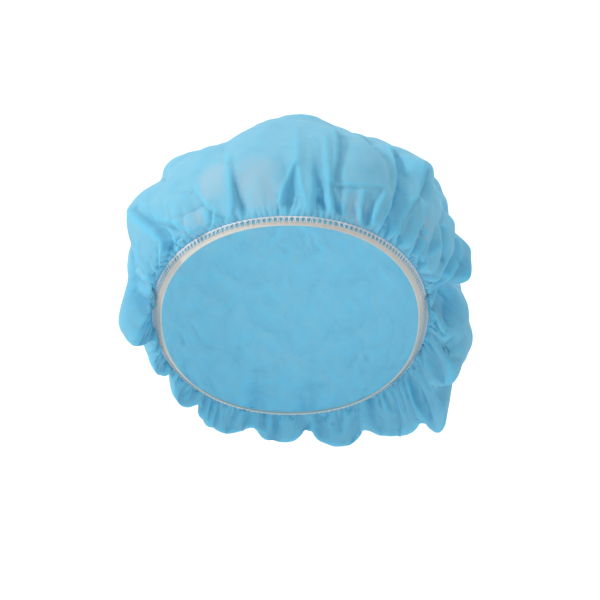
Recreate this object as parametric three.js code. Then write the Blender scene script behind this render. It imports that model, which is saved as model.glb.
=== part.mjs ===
// Disposable bouffant cap: one round sheet of pale blue nonwoven cloth, gathered onto an elastic band.
//
// Millimetres, +Z up, the forehead towards -Y. The origin is the centre of the elastic's opening,
// where the cap sits round a head. The opening is an ellipse that is high at the forehead and low
// at the nape, and the crown rises from it along the axis square to its plane.
//
// An angle goes round the opening: 0 at the forehead, 90 at +X, 180 at the nape, 270 at -X.
// "Up" goes along the cloth: 0 at its hem and 1 at the middle of the round sheet.

import * as THREE from "three";

// The head opening
const openingHalfWidth = 77;
const openingHalfLength = 105;
const openingSquareness = 2.15; // 2 is a true ellipse
const openingTilt = THREE.MathUtils.degToRad(33);

// The elastic band, flat in section, leaning outwards from the head
const elasticWidth = 5.5;
const elasticThickness = 1.2;
const elasticLean = THREE.MathUtils.degToRad(45);

// The crown
const crownHeight = 128;
const clothWall = 1.2;
const hemLength = 3.4; // the straight strip of cloth along the band's outer face
const hemClearance = 0.4;
const elasticShownFront = 2.8; // how much of the band's width shows below the hem
const elasticShownSide = 4.2;

// Folds and gathers, which the tables below give as shares of these
const foldDepth = 8.5;
const foldWidth = 9;
const deepestFold = 10; // folds that cross don't add up past this
const foldCentreOut = 0.55; // folds dip towards a ring inside the crown, as a share of the opening
const foldCentreUp = 0.35; // and of crownHeight
const gatherDepth = 1.5;
const gatherCount = 36;
const gatherReach = 0.2; // how far up the cloth the gathers run

// How finely the surfaces are divided
const columnsPerGather = 4;
const crownRows = 17;
const rowCrowding = 1.42; // above 1, rows crowd towards the hem
const longestMitre = 1.5; // the wall's inner corner is at most this many walls off
const profileSteps = 12; // points on each stretch of a profile
const columns = gatherCount * columnsPerGather;

// Profiles of the crown round the opening. Out is a share of the opening's own half-size at that
// angle, up a share of crownHeight. The cloth rolls over beside the hem, bulges, turns in at the
// shoulder and runs over the upper crown to the middle.
const sections = [
  {
    rollOut: 1.09, rollUp: 0.06, bulgeOut: 1.16, bulgeUp: 0.2,
    shoulderOut: 1.1, shoulderUp: 0.47, upperOut: 0.77, upperUp: 0.76,
  },
  {
    rollOut: 1.13, rollUp: 0.04, bulgeOut: 1.22, bulgeUp: 0.18,
    shoulderOut: 1.14, shoulderUp: 0.48, upperOut: 0.78, upperUp: 0.76,
  },
  {
    rollOut: 1.19, rollUp: 0.0, bulgeOut: 1.34, bulgeUp: 0.14,
    shoulderOut: 1.27, shoulderUp: 0.45, upperOut: 1.0, upperUp: 0.74,
  },
  {
    rollOut: 1.22, rollUp: -0.07, bulgeOut: 1.4, bulgeUp: 0.06,
    shoulderOut: 1.31, shoulderUp: 0.48, upperOut: 1.07, upperUp: 0.82,
  },
  {
    rollOut: 1.35, rollUp: -0.19, bulgeOut: 1.46, bulgeUp: 0.18,
    shoulderOut: 1.32, shoulderUp: 0.56, upperOut: 0.92, upperUp: 0.9,
  },
  {
    rollOut: 1.26, rollUp: -0.13, bulgeOut: 1.36, bulgeUp: 0.2,
    shoulderOut: 1.22, shoulderUp: 0.6, upperOut: 0.78, upperUp: 0.92,
  },
  {
    rollOut: 1.2, rollUp: -0.08, bulgeOut: 1.28, bulgeUp: 0.24,
    shoulderOut: 1.16, shoulderUp: 0.62, upperOut: 0.74, upperUp: 0.92,
  },
  {
    rollOut: 1.18, rollUp: -0.06, bulgeOut: 1.28, bulgeUp: 0.24,
    shoulderOut: 1.18, shoulderUp: 0.6, upperOut: 0.78, upperUp: 0.92,
  },
  {
    rollOut: 1.15, rollUp: -0.03, bulgeOut: 1.27, bulgeUp: 0.18,
    shoulderOut: 1.25, shoulderUp: 0.52, upperOut: 0.9, upperUp: 0.88,
  },
  {
    rollOut: 1.18, rollUp: -0.09, bulgeOut: 1.33, bulgeUp: 0.05,
    shoulderOut: 1.24, shoulderUp: 0.42, upperOut: 0.99, upperUp: 0.79,
  },
  {
    rollOut: 1.17, rollUp: -0.02, bulgeOut: 1.31, bulgeUp: 0.12,
    shoulderOut: 1.24, shoulderUp: 0.43, upperOut: 0.97, upperUp: 0.7,
  },
  {
    rollOut: 1.13, rollUp: 0.03, bulgeOut: 1.21, bulgeUp: 0.18,
    shoulderOut: 1.13, shoulderUp: 0.46, upperOut: 0.74, upperUp: 0.71,
  },
];

// Folds, each a line from one place on the cloth to another. Width and depth are shares of
// foldWidth and foldDepth. A depth above 0 is a valley, below 0 a ridge.
const folds = [
  // over the forehead
  { angle: 0, up: 0, toAngle: 1.5, toUp: 0.17, width: 0.9, depth: 1.0 },
  { angle: 7.5, up: 0, toAngle: 8, toUp: 0.28, width: 0.75, depth: 0.8 },
  { angle: 11, up: 0.06, toAngle: 13, toUp: 0.3, width: 0.8, depth: -0.25 },
  { angle: 15, up: 0, toAngle: 12.5, toUp: 0.13, width: 0.75, depth: 0.6 },
  { angle: 17, up: 0.2, toAngle: 17, toUp: 0.28, width: 1.7, depth: 0.6 },
  { angle: 14, up: 0.115, toAngle: 26, toUp: 0.15, width: 0.75, depth: 0.4 },
  { angle: 21, up: 0, toAngle: 21, toUp: 0.1, width: 0.75, depth: 0.4 },
  { angle: 25, up: 0.02, toAngle: 28, toUp: 0.16, width: 0.8, depth: -0.3 },
  // beside the forehead, towards +X
  { angle: 30, up: 0, toAngle: 31.5, toUp: 0.12, width: 0.8, depth: 0.7 },
  { angle: 32, up: 0.15, toAngle: 30, toUp: 0.44, width: 1.2, depth: 1.2 },
  { angle: 36.5, up: 0, toAngle: 36.5, toUp: 0.11, width: 0.75, depth: 0.8 },
  { angle: 39, up: 0.12, toAngle: 45, toUp: 0.33, width: 1.2, depth: -0.3 },
  { angle: 47, up: 0, toAngle: 45, toUp: 0.1, width: 0.8, depth: 0.7 },
  { angle: 49, up: 0.15, toAngle: 51, toUp: 0.3, width: 1.1, depth: 0.7 },
  { angle: 56, up: 0.02, toAngle: 56, toUp: 0.16, width: 0.9, depth: 0.6 },
  { angle: 44, up: 0.34, toAngle: 49, toUp: 0.38, width: 1.6, depth: -1.15 },
  { angle: 54, up: 0.34, toAngle: 57, toUp: 0.42, width: 1.0, depth: 0.8 },
  { angle: 61, up: 0.36, toAngle: 64, toUp: 0.43, width: 1.3, depth: -0.5 },
  // the +X side
  { angle: 70, up: 0, toAngle: 67, toUp: 0.22, width: 1.0, depth: 1.0 },
  { angle: 69, up: 0.33, toAngle: 76, toUp: 0.35, width: 1.2, depth: 0.45 },
  { angle: 75, up: 0.18, toAngle: 75, toUp: 0.25, width: 1.3, depth: -1.1 },
  { angle: 82, up: 0.06, toAngle: 92, toUp: 0.06, width: 0.8, depth: 0.5 },
  { angle: 83, up: 0.16, toAngle: 86, toUp: 0.34, width: 1.4, depth: 1.6 },
  { angle: 71, up: 0.12, toAngle: 83, toUp: 0.15, width: 0.95, depth: 1.3 },
  { angle: 102, up: 0.12, toAngle: 102, toUp: 0.22, width: 1.6, depth: -0.6 },
  { angle: 115, up: 0.04, toAngle: 117, toUp: 0.22, width: 1.2, depth: 1.8 },
  { angle: 98, up: 0.32, toAngle: 92, toUp: 0.42, width: 1.7, depth: 0.9 },
  { angle: 131, up: 0.05, toAngle: 126, toUp: 0.14, width: 2.0, depth: -1.1 },
  // beside the forehead, towards -X
  { angle: 346.5, up: 0, toAngle: 345.5, toUp: 0.21, width: 0.8, depth: 0.7 },
  { angle: 342, up: 0.02, toAngle: 343, toUp: 0.2, width: 0.8, depth: -0.25 },
  { angle: 337, up: 0, toAngle: 337, toUp: 0.075, width: 0.75, depth: 0.5 },
  { angle: 337, up: 0.075, toAngle: 331, toUp: 0.165, width: 0.9, depth: 0.4 },
  { angle: 326, up: 0, toAngle: 323, toUp: 0.09, width: 0.9, depth: 0.6 },
  { angle: 323, up: 0.09, toAngle: 312, toUp: 0.18, width: 1.0, depth: 0.7 },
  { angle: 312, up: 0.18, toAngle: 305, toUp: 0.25, width: 1.0, depth: 0.6 },
  { angle: 341, up: 0.3, toAngle: 337, toUp: 0.42, width: 1.2, depth: 0.5 },
  { angle: 320, up: 0.29, toAngle: 315, toUp: 0.4, width: 1.3, depth: 1.3 },
  { angle: 312, up: 0, toAngle: 316, toUp: 0.08, width: 0.8, depth: 0.8 },
  { angle: 304, up: 0.27, toAngle: 299, toUp: 0.32, width: 1.7, depth: -0.8 },
  // the -X side
  { angle: 296, up: 0.02, toAngle: 299, toUp: 0.16, width: 0.9, depth: 0.7 },
  { angle: 281.5, up: 0.12, toAngle: 284, toUp: 0.26, width: 1.6, depth: 2.4 },
  { angle: 264, up: 0.29, toAngle: 276, toUp: 0.25, width: 1.3, depth: 0.6 },
  { angle: 271, up: 0.06, toAngle: 274, toUp: 0.13, width: 1.7, depth: -1.3 },
  { angle: 285, up: 0, toAngle: 288, toUp: 0.1, width: 0.9, depth: 0.5 },
  { angle: 265, up: 0, toAngle: 262, toUp: 0.16, width: 1.0, depth: 1.2 },
  // long slack folds over the top
  { angle: 342, up: 0.44, toAngle: 338, toUp: 0.66, width: 1.4, depth: 0.35 },
  { angle: 20, up: 0.44, toAngle: 26, toUp: 0.68, width: 1.4, depth: 0.45 },
  { angle: 72, up: 0.45, toAngle: 62, toUp: 0.72, width: 1.5, depth: 0.6 },
  { angle: 290, up: 0.42, toAngle: 298, toUp: 0.7, width: 1.5, depth: 0.5 },
];

// Folds that fan out from the hem where the sheet hangs full behind the head
const backFolds = {
  count: 11,
  from: 136,
  to: 248,
  short: 0.12,
  long: 0.26,
  lean: 3,
  widthShare: 1.1,
  valley: 0.8,
  ridge: 0.3,
};
for (let k = 0; k < backFolds.count; k++) {
  const angle = THREE.MathUtils.lerp(backFolds.from, backFolds.to, k / (backFolds.count - 1));
  const isValley = k % 2 === 0;
  folds.push({
    angle,
    up: 0.01,
    toAngle: angle + ((k % 3) - 1) * backFolds.lean,
    toUp: isValley ? backFolds.long : backFolds.short,
    width: backFolds.widthShare,
    depth: isValley ? backFolds.valley : -backFolds.ridge,
  });
}

// The opening's frame: +X is across, `forward` runs up to the forehead in the opening's plane,
// and `rise` is square to that plane
const across = new THREE.Vector3(1, 0, 0);
const forward = new THREE.Vector3(0, -Math.cos(openingTilt), Math.sin(openingTilt));
const rise = new THREE.Vector3(0, Math.sin(openingTilt), Math.cos(openingTilt));

function outwards(angle) {
  return across.clone().multiplyScalar(Math.sin(angle)).addScaledVector(forward, Math.cos(angle));
}

// The point at a distance out from the axis and up along it
function place(angle, out, up) {
  return outwards(angle).multiplyScalar(out).addScaledVector(rise, up);
}

function openingRadius(angle) {
  const p = openingSquareness;
  const across = Math.abs(Math.sin(angle) / openingHalfWidth) ** p;
  const along = Math.abs(Math.cos(angle) / openingHalfLength) ** p;
  return (across + along) ** (-1 / p);
}

// One section of the crown at any angle, on a smooth closed curve through the table's rows
function sectionAt(angle) {
  const n = sections.length;
  const turn = (((angle / (2 * Math.PI)) % 1) + 1) % 1;
  const at = turn * n;
  const i = Math.floor(at);
  const t = at - i;
  const row = (k) => sections[(i + k + n) % n];
  const blended = {};
  for (const name of Object.keys(sections[0])) {
    const [a, b, c, d] = [row(-1)[name], row(0)[name], row(1)[name], row(2)[name]];
    const cubic = (3 * b - a - 3 * c + d) * t ** 3;
    blended[name] = 0.5 * (2 * b + (c - a) * t + (2 * a - 5 * b + 4 * c - d) * t * t + cubic);
  }
  return blended;
}

// The elastic and the hem in section: `along` runs up the band's width, `off` out from its face
function bandPoint(angle, along, off) {
  const lean = [Math.cos(elasticLean), Math.sin(elasticLean)];
  const out = openingRadius(angle) + along * lean[0] + off * lean[1];
  const up = along * lean[1] - off * lean[0];
  return new THREE.Vector2(out, up);
}

// The crown's profile at one angle, as points (out, up) with the share of the cloth below each.
// The first two are the ends of the straight hem.
function profileAt(angle) {
  const r = openingRadius(angle);
  const s = sectionAt(angle);
  const clothOff = elasticThickness / 2 + hemClearance + clothWall;
  const shown = THREE.MathUtils.lerp(elasticShownFront, elasticShownSide, Math.sin(angle) ** 2);
  const hemStart = bandPoint(angle, shown, clothOff);
  const hemEnd = bandPoint(angle, shown + hemLength, clothOff);
  const stations = [
    hemEnd,
    new THREE.Vector2(r * s.rollOut, crownHeight * s.rollUp),
    new THREE.Vector2(r * s.bulgeOut, crownHeight * s.bulgeUp),
    new THREE.Vector2(r * s.shoulderOut, crownHeight * s.shoulderUp),
    new THREE.Vector2(r * s.upperOut, crownHeight * s.upperUp),
    new THREE.Vector2(0, crownHeight),
  ];
  // The curve goes on past the middle as its own mirror image, so that the top is smooth
  const upper = stations[4];
  const curve = new THREE.CatmullRomCurve3(
    [hemStart, ...stations, new THREE.Vector2(-upper.x, upper.y)].map((p) => new THREE.Vector3(p.x, p.y, 0)),
    false,
    "centripetal",
  );
  const stretches = stations.length + 1;
  const points = [];
  for (let k = 0; k <= profileSteps * (stretches - 1); k++) {
    points.push(curve.getPoint(k / (profileSteps * stretches)));
  }
  const lengths = [0];
  for (let k = 1; k < points.length; k++) {
    lengths.push(lengths[k - 1] + points[k].distanceTo(points[k - 1]));
  }
  const whole = lengths[lengths.length - 1];
  const hemShare = lengths[profileSteps] / whole;
  const rows = [{ point: points[0], up: 0 }];
  for (let r = 0; r < crownRows - 1; r++) {
    const up = hemShare + (1 - hemShare) * (r / (crownRows - 1)) ** rowCrowding;
    let k = profileSteps + 1;
    while (k < lengths.length - 1 && lengths[k] < up * whole) k++;
    const t = (up * whole - lengths[k - 1]) / (lengths[k] - lengths[k - 1]);
    rows.push({ point: points[k - 1].clone().lerp(points[k], t), up });
  }
  return { rows, whole, hemShare };
}

// 0 below low, 1 above high, smooth between
const ease = THREE.MathUtils.smoothstep;

// How far the cloth stands in from its smooth form at one place, from the table of folds
function foldDip(angle, up, out, whole) {
  let dip = 0;
  for (const f of folds) {
    const turnTo = THREE.MathUtils.degToRad(f.toAngle - f.angle);
    let turn = angle - THREE.MathUtils.degToRad(f.angle);
    turn = Math.atan2(Math.sin(turn), Math.cos(turn));
    const line = [turnTo * out, (f.toUp - f.up) * whole];
    const point = [turn * out, (up - f.up) * whole];
    const long = line[0] ** 2 + line[1] ** 2;
    const t = THREE.MathUtils.clamp((point[0] * line[0] + point[1] * line[1]) / long, 0, 1);
    const away = Math.hypot(point[0] - t * line[0], point[1] - t * line[1]) / (f.width * foldWidth);
    dip += f.depth * foldDepth * Math.exp(-away * away) * (1 - 0.35 * t);
  }
  return dip < 0 ? dip : deepestFold * Math.tanh(dip / deepestFold);
}

// Small pleats of the cloth where the elastic draws it in, uneven round the opening
function gatherDip(angle, up) {
  const drift = 0.8 * Math.sin(5 * angle + 0.4) + 0.5 * Math.sin(9 * angle + 2.1);
  const strength = 0.7 + 0.3 * Math.sin(7 * angle + 1.3);
  return gatherDepth * strength * Math.cos(gatherCount * angle + drift) * (1 - ease(up, 0, gatherReach));
}

// Joins a grid of points, a closed ring for each row, with its neighbouring rings
function ringFaces(rings, count, faces) {
  for (let r = 0; r + 1 < rings.length; r++) {
    for (let k = 0; k < count; k++) {
      const next = (k + 1) % count;
      const [a, b, c, d] = [rings[r] + k, rings[r] + next, rings[r + 1] + next, rings[r + 1] + k];
      faces.push(a, b, c, a, c, d);
    }
  }
}

function geometryOf(points, faces) {
  const positions = points.flatMap((p) => [p.x, p.y, p.z]);
  const geometry = new THREE.BufferGeometry();
  geometry.setAttribute("position", new THREE.Float32BufferAttribute(positions, 3));
  geometry.setIndex(faces);
  geometry.computeVertexNormals();
  return geometry;
}

function crownGeometry() {
  const smooth = [];
  const outs = [];
  const dips = [];
  for (let k = 0; k < columns; k++) {
    const angle = (2 * Math.PI * k) / columns;
    const { rows, whole, hemShare } = profileAt(angle);
    smooth.push(rows.map(({ point }) => place(angle, point.x, point.y)));
    outs.push(
      rows.map(({ point }) => {
        const centreOut = Math.min(foldCentreOut * openingRadius(angle), foldCentreOut * point.x);
        return place(angle, point.x - centreOut, point.y - foldCentreUp * crownHeight).normalize();
      }),
    );
    dips.push(
      rows.map(({ point, up }) => {
        const free = ease(up, hemShare, 4 * hemShare);
        return free * (foldDip(angle, up, point.x, whole) + gatherDip(angle, up));
      }),
    );
  }
  const top = place(0, 0, crownHeight);

  // Outward steps of a grid of points, each one wall long, or longer in a sharp bend so that the
  // wall keeps its thickness beside it
  const stepsOf = (grid) => {
    const corner = (k, r) => (r < crownRows ? grid[(k + columns) % columns][r] : top);
    const facing = (k, r) => {
      const rising = corner(k + 1, r + 1).clone().sub(corner(k, r));
      const falling = corner(k, r + 1).clone().sub(corner(k + 1, r));
      return rising.cross(falling).normalize();
    };
    return grid.map((column, k) =>
      column.map((_, r) => {
        const facings = [facing(k - 1, r), facing(k, r)];
        if (r > 0) facings.push(facing(k - 1, r - 1), facing(k, r - 1));
        const normal = facings.reduce((sum, f) => sum.add(f), new THREE.Vector3()).normalize();
        const worst = Math.min(...facings.map((f) => normal.dot(f)));
        return normal.multiplyScalar(clothWall / Math.max(worst, 1 / longestMitre));
      }),
    );
  };

  // Folds evened out between neighbours, so that none is sharper than the mesh can follow
  const evened = dips.map((column, k) =>
    column.map((dip, r) => {
      const beside = (dips[(k + 1) % columns][r] + dips[(k + columns - 1) % columns][r]) / 2;
      const along = r > 1 && r + 1 < crownRows ? (column[r - 1] + column[r + 1]) / 2 : dip;
      return dip / 2 + beside / 3 + along / 6;
    }),
  );
  const outer = smooth.map((column, k) =>
    column.map((p, r) => p.clone().addScaledVector(outs[k][r], -evened[k][r])),
  );
  const steps = stepsOf(outer);
  const inner = outer.map((column, k) => column.map((p, r) => p.clone().sub(steps[k][r])));

  const points = [];
  const layer = (grid) => {
    const rings = [];
    for (let r = 0; r < crownRows; r++) {
      rings.push(points.length);
      grid.forEach((column) => points.push(column[r]));
    }
    return rings;
  };
  const outerRings = layer(outer);
  const innerRings = layer(inner);
  const outerTop = points.push(top) - 1;
  const innerTop = points.push(top.clone().addScaledVector(rise, -clothWall)) - 1;

  const faces = [];
  ringFaces(outerRings, columns, faces);
  ringFaces([...innerRings].reverse(), columns, faces);
  ringFaces([innerRings[0], outerRings[0]], columns, faces);
  const [lastOuter, lastInner] = [outerRings[crownRows - 1], innerRings[crownRows - 1]];
  for (let k = 0; k < columns; k++) {
    const next = (k + 1) % columns;
    faces.push(lastOuter + k, lastOuter + next, outerTop);
    faces.push(lastInner + next, lastInner + k, innerTop);
  }
  return geometryOf(points, faces);
}

function elasticGeometry() {
  const half = elasticThickness / 2;
  const corners = [
    [0, half],
    [elasticWidth, half],
    [elasticWidth, -half],
    [0, -half],
  ];
  const points = [];
  const rings = corners.map(([along, off]) => {
    const start = points.length;
    for (let k = 0; k < columns; k++) {
      const angle = (2 * Math.PI * k) / columns;
      const p = bandPoint(angle, along, off);
      points.push(place(angle, p.x, p.y));
    }
    return start;
  });
  const faces = [];
  ringFaces([...rings, rings[0]], columns, faces);
  return geometryOf(points, faces);
}

function piece(name, geometry, color, roughness) {
  const mesh = new THREE.Mesh(geometry, new THREE.MeshStandardMaterial({ color, roughness, metalness: 0 }));
  mesh.name = name;
  return mesh;
}

const cap = new THREE.Group();
cap.name = "bouffant_cap";
cap.add(piece("crown", crownGeometry(), 0x8ccbe6, 0.85));
cap.add(piece("elastic_band", elasticGeometry(), 0xe9e6e1, 0.9));

export default cap;
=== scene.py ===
import math
import bpy
import numpy as np
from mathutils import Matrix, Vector, kdtree


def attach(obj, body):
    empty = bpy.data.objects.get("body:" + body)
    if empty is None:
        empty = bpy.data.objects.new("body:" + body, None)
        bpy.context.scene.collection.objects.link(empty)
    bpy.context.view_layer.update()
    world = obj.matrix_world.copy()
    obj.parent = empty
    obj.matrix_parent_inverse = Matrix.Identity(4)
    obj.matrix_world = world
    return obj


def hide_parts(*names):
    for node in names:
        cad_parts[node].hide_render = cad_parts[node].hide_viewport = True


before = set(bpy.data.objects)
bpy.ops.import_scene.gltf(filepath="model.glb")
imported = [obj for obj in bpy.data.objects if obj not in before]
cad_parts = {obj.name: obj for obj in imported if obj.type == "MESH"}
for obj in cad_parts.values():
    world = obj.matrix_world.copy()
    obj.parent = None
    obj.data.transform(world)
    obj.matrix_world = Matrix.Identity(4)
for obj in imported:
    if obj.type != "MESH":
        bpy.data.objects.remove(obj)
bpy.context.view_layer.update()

print("frame loaded:", sorted(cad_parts))

mm = 0.001

# Camera: level with the cap's middle, 1.6 m in front of the forehead

view = {
    "distance": 1.6,
    "sideways": 0.006,
    "height": 0.015,
    "lens": 160,
    "sensor": 36,
    "seesTo": 30,
}


def addCamera():
    data = bpy.data.cameras.new("camera")
    data.lens = view["lens"]
    data.sensor_width = view["sensor"]
    data.clip_end = view["seesTo"]
    camera = bpy.data.objects.new("camera", data)
    bpy.context.scene.collection.objects.link(camera)
    camera.location = (view["sideways"], -view["distance"], view["height"])
    camera.rotation_euler = (math.radians(90), 0, 0)
    bpy.context.scene.camera = camera


addCamera()

# The cap's form, in millimetres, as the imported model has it

cap = {
    "openingHalfWidth": 77,
    "openingHalfLength": 105,
    "openingSquareness": 2.15,
    "openingTilt": math.radians(33),
    "crownHeight": 128,
    "elasticWidth": 5.5,
    "elasticThickness": 1.0,
    "elasticLean": math.radians(45),
    "elasticShownFront": 2.8,  # how much of the elastic shows below the hem
    "elasticShownSide": 4.2,
    "hemLength": 3.4,  # the straight strip that is stitched down
    "hemOff": 0.35,  # how far the cloth lies off the elastic's face
    "foldCentreOut": 0.55,  # large folds dip towards a ring inside the crown
    "foldCentreUp": 0.35,
    "deepestFold": 17,
    "drawnIn": 1.3,  # wrinkles stand proud of the form they lie on, so that is set back a little
}

# Profiles every 30 degrees round the opening, from the forehead towards +X. Out is a share of
# the opening's half-size at that angle, up a share of crownHeight.
# columns: rollOut, rollUp, bulgeOut, bulgeUp, shoulderOut, shoulderUp, upperOut, upperUp
sections = np.array([
    [1.09, 0.06, 1.16, 0.20, 1.10, 0.47, 0.77, 0.76],
    [1.13, 0.04, 1.22, 0.18, 1.14, 0.48, 0.78, 0.76],
    [1.19, 0.00, 1.34, 0.14, 1.27, 0.45, 1.00, 0.74],
    [1.22, -0.07, 1.40, 0.06, 1.31, 0.48, 1.07, 0.82],
    [1.35, -0.19, 1.46, 0.18, 1.32, 0.56, 0.92, 0.90],
    [1.26, -0.13, 1.36, 0.20, 1.22, 0.60, 0.78, 0.92],
    [1.20, -0.08, 1.28, 0.24, 1.16, 0.62, 0.74, 0.92],
    [1.18, -0.06, 1.28, 0.24, 1.18, 0.60, 0.78, 0.92],
    [1.15, -0.03, 1.27, 0.18, 1.25, 0.52, 0.90, 0.88],
    [1.18, -0.09, 1.33, 0.05, 1.24, 0.42, 0.99, 0.79],
    [1.17, -0.02, 1.31, 0.12, 1.24, 0.43, 0.97, 0.70],
    [1.13, 0.03, 1.21, 0.18, 1.13, 0.46, 0.74, 0.71],
])

# Folds as lines over the cloth: angle in degrees and share of the way from hem to middle.
# Widths and depths are in mm at the line's two ends. Depth above 0 is a valley, below 0 a ridge.
# edge above 2 gives steep sides, near 1 a sharp crease. lean above 0 makes the side towards
# larger angles the gentle one.
def fold(path, width, depth, edge=2, lean=0):
    return {"path": path, "width": width, "depth": depth, "edge": edge, "lean": lean}


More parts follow.
